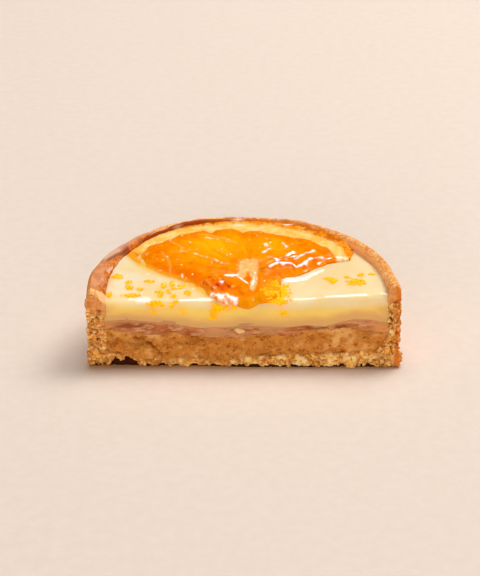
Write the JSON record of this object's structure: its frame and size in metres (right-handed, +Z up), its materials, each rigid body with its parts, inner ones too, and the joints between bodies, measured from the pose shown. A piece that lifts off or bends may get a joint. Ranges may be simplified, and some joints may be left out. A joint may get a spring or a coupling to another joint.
{
  "type": "orange tart half",
  "caption": "Cut half of a small round orange tart: shortcrust case with baked almond cream, fruit compote and lemon cream, topped with a candied orange fan and zest.",
  "frame": {"origin": "on the table under the middle of the piece's box, at the underside of the base", "axes": "+X along the cut face, +Y from the cut face towards the round back, +Z up"},
  "size_m": [0.0795, 0.0434, 0.0232],
  "materials": {
    "crust": "baked golden-brown shortcrust, smooth outside and crumbly where cut",
    "almond_filling": "moist tan baked almond sponge with fine pores",
    "compote": "moist pinkish-brown fruit layer",
    "cream": "smooth glossy set lemon cream with grated zest",
    "orange_slice": "wet glazed candied orange flesh with pale pith and orange rind"
  },
  "bodies": {
    "root": {"crust": "crust", "almond_filling": "almond_filling", "compote": "compote", "cream": "cream", "orange_slice": "orange_slice"}
  },
  "joints": []
}
